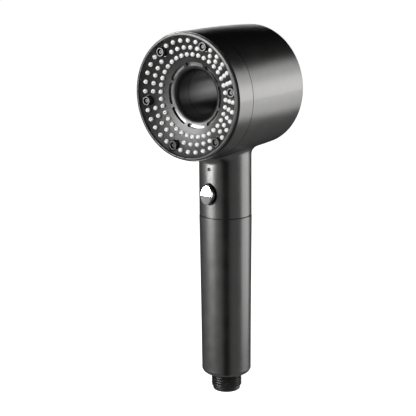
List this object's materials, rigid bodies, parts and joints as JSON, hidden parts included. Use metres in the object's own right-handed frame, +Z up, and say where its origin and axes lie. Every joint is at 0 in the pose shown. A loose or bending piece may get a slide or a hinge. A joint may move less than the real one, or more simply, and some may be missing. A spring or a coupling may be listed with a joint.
{
  "type": "handheld shower head",
  "caption": "Handheld shower head with a hollow drum head, a turning dished spray face, a stop button on the neck and a straight filter grip.",
  "frame": {"origin": "centre of the threaded inlet end, on the handle's axis", "axes": "+Z up the handle to the head, -Y out of the spray face, +X to the right as seen from the front"},
  "size_m": [0.0848, 0.0751, 0.2539],
  "materials": {
    "body_gunmetal": "satin gunmetal coating",
    "face_grey": "satin dark grey",
    "nozzle_white": "matt white silicone",
    "jet_black": "glossy black",
    "mist_grey": "satin light grey",
    "inner_plastic": "moulded, as made",
    "seal_rubber": "black rubber",
    "spring_steel": "bright drawn wire",
    "button_chrome": "bright chrome",
    "black_plastic": "satin black",
    "inlet_black": "glossy black",
    "filter_clear": "clear",
    "filter_cotton": "melt-blown fibre"
  },
  "bodies": {
    "head": {"head_shell": "body_gunmetal", "front_ring": "body_gunmetal", "grip_sleeve": "body_gunmetal", "rear_cover": "body_gunmetal", "bore_liner": "body_gunmetal", "wiper_ring": "seal_rubber", "outlet_plate": "inner_plastic", "outlet_screws": "spring_steel", "port_seal": "seal_rubber", "port_spring": "spring_steel", "click_pin": "black_plastic", "click_spring": "spring_steel", "sleeve_seal": "seal_rubber", "water_housing": "inner_plastic", "button_bezel": "black_plastic", "button_pin": "spring_steel", "valve_body": "inner_plastic", "valve_seat": "seal_rubber", "riser_tube": "inner_plastic", "indicator_dot": "black_plastic", "grip_nipple": "black_plastic", "nipple_seals": "seal_rubber", "filter_tube": "filter_clear", "filter_element": "filter_cotton", "filter_top_cap": "inner_plastic", "filter_bottom_cap": "inner_plastic", "inlet_connector": "inlet_black", "inlet_screen": "spring_steel", "flow_regulator": "inner_plastic", "check_valve_body": "inner_plastic", "check_spring": "spring_steel"},
    "face": {"spray_face": "face_grey", "nozzle_mat": "nozzle_white", "jet_barrels": "jet_black", "jet_restrictors": "jet_black", "mist_ring": "mist_grey", "chamber_plate": "inner_plastic", "face_retainer": "inner_plastic"},
    "button": {"stop_button": "button_chrome"},
    "spool": {"valve_spool": "inner_plastic", "spool_seals": "seal_rubber", "spool_pad": "seal_rubber"},
    "poppet": {"check_poppet": "inner_plastic"}
  },
  "joints": [
    {"name": "face_turn", "type": "hinge", "parent": "head", "child": "face", "pos_m": [0, 0, 0.2115], "axis": [0, -1, 0], "range_deg": [0, 40]},
    {"name": "button_rock", "type": "hinge", "parent": "head", "child": "button", "pos_m": [0, -0.015, 0.143], "axis": [1, 0, 0], "range_deg": [0, 9]},
    {"name": "spool_slide", "type": "slide", "parent": "head", "child": "spool", "axis": [0, 0, 1], "range_m": [0, 0.0019]},
    {"name": "poppet_slide", "type": "slide", "parent": "head", "child": "poppet", "axis": [0, 0, 1], "range_m": [0, 0.003], "stiffness_N_per_m": 40, "springref_m": -0.004, "deforming": ["check_spring"]}
  ],
  "couplings": [
    {"joint": "spool_slide", "follows": "button_rock", "m_per_rad": 0.0119}
  ]
}
